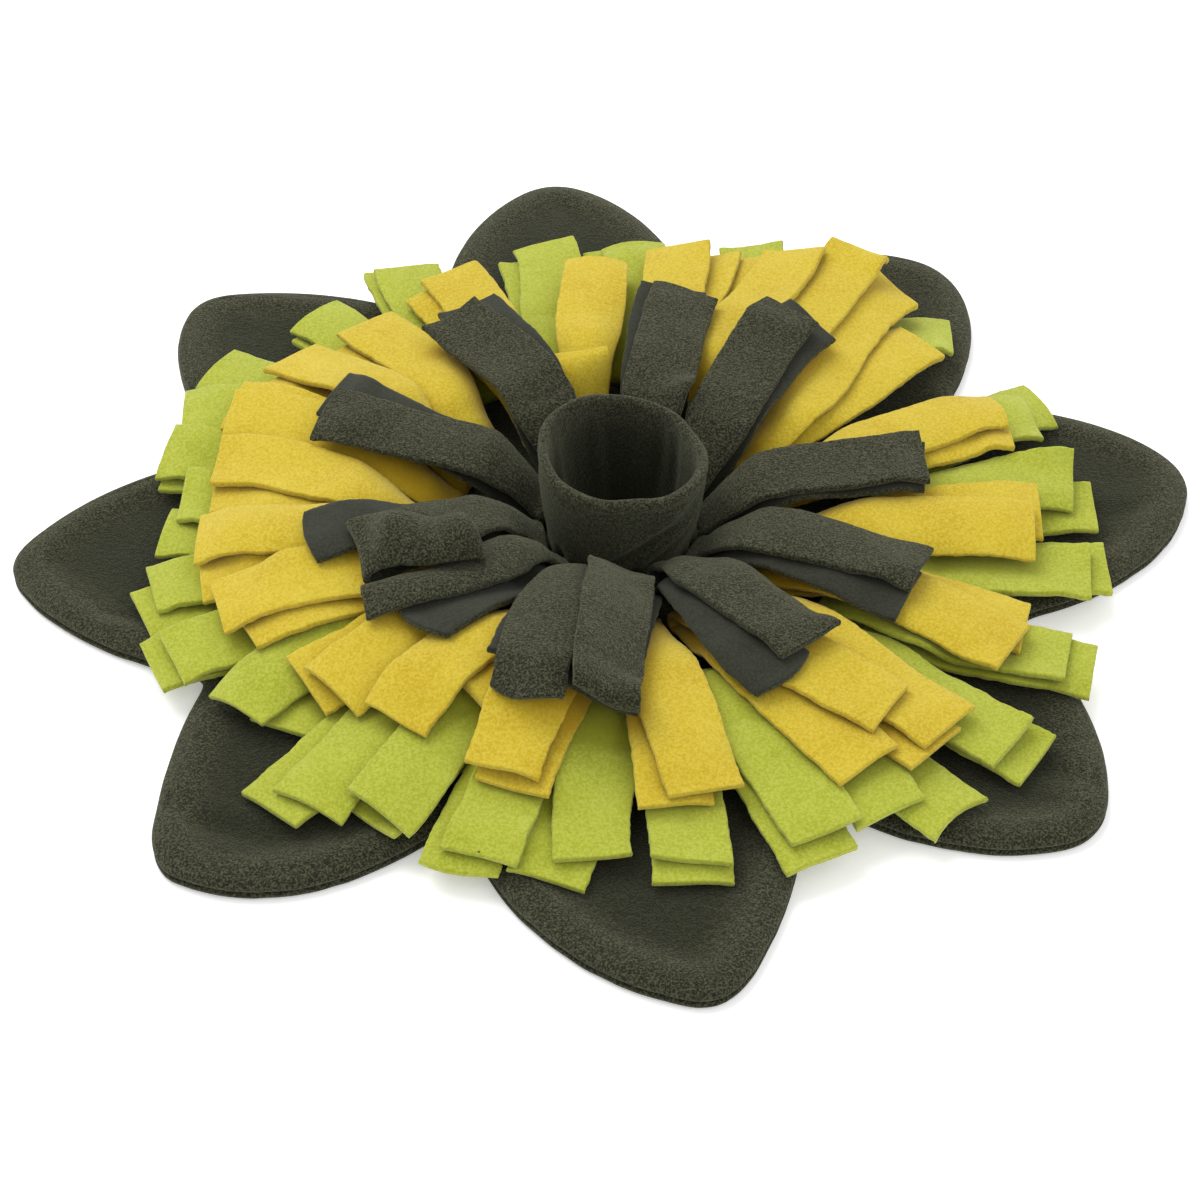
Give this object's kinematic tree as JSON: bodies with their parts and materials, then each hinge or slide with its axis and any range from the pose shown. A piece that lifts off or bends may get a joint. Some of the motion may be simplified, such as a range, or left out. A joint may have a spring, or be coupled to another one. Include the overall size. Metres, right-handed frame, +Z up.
{
  "type": "snuffle mat",
  "caption": "Flat petalled fleece flower with a fleece cup in its middle and rings of folded fleece strips, to hide dry treats in.",
  "frame": {"origin": "on the flat underside, at the middle of the flower", "axes": "+Z up out of the mat, -Y towards the side the picture is taken from, +X to the right in the picture"},
  "size_m": [0.4732, 0.4889, 0.0582],
  "materials": {
    "charcoal_fleece": "nubby microfleece",
    "yellow_fleece": "soft brushed fleece",
    "lime_fleece": "soft brushed fleece"
  },
  "bodies": {
    "root": {"base": "charcoal_fleece", "cup": "charcoal_fleece", "lime_01": "lime_fleece", "lime_02": "lime_fleece", "lime_03": "lime_fleece", "lime_04": "lime_fleece", "lime_05": "lime_fleece", "lime_06": "lime_fleece", "lime_07": "lime_fleece", "lime_08": "lime_fleece", "lime_09": "lime_fleece", "lime_10": "lime_fleece", "lime_11": "lime_fleece", "lime_12": "lime_fleece", "lime_13": "lime_fleece", "lime_14": "lime_fleece", "lime_15": "lime_fleece", "lime_16": "lime_fleece", "lime_17": "lime_fleece", "lime_18": "lime_fleece", "lime_19": "lime_fleece", "lime_20": "lime_fleece", "lime_21": "lime_fleece", "lime_22": "lime_fleece", "lime_23": "lime_fleece", "lime_24": "lime_fleece", "lime_25": "lime_fleece", "sun_01": "yellow_fleece", "sun_02": "yellow_fleece", "sun_03": "yellow_fleece", "sun_04": "yellow_fleece", "sun_05": "yellow_fleece", "sun_06": "yellow_fleece", "sun_07": "yellow_fleece", "sun_08": "yellow_fleece", "sun_09": "yellow_fleece", "sun_10": "yellow_fleece", "sun_11": "yellow_fleece", "sun_12": "yellow_fleece", "sun_13": "yellow_fleece", "sun_14": "yellow_fleece", "sun_15": "yellow_fleece", "sun_16": "yellow_fleece", "sun_17": "yellow_fleece", "sun_18": "yellow_fleece", "sun_19": "yellow_fleece", "sun_20": "yellow_fleece", "sun_21": "yellow_fleece", "grey_01": "charcoal_fleece", "grey_02": "charcoal_fleece", "grey_03": "charcoal_fleece", "grey_04": "charcoal_fleece", "grey_05": "charcoal_fleece", "grey_06": "charcoal_fleece", "grey_07": "charcoal_fleece", "grey_08": "charcoal_fleece", "grey_09": "charcoal_fleece", "grey_10": "charcoal_fleece", "grey_11": "charcoal_fleece"}
  },
  "joints": []
}
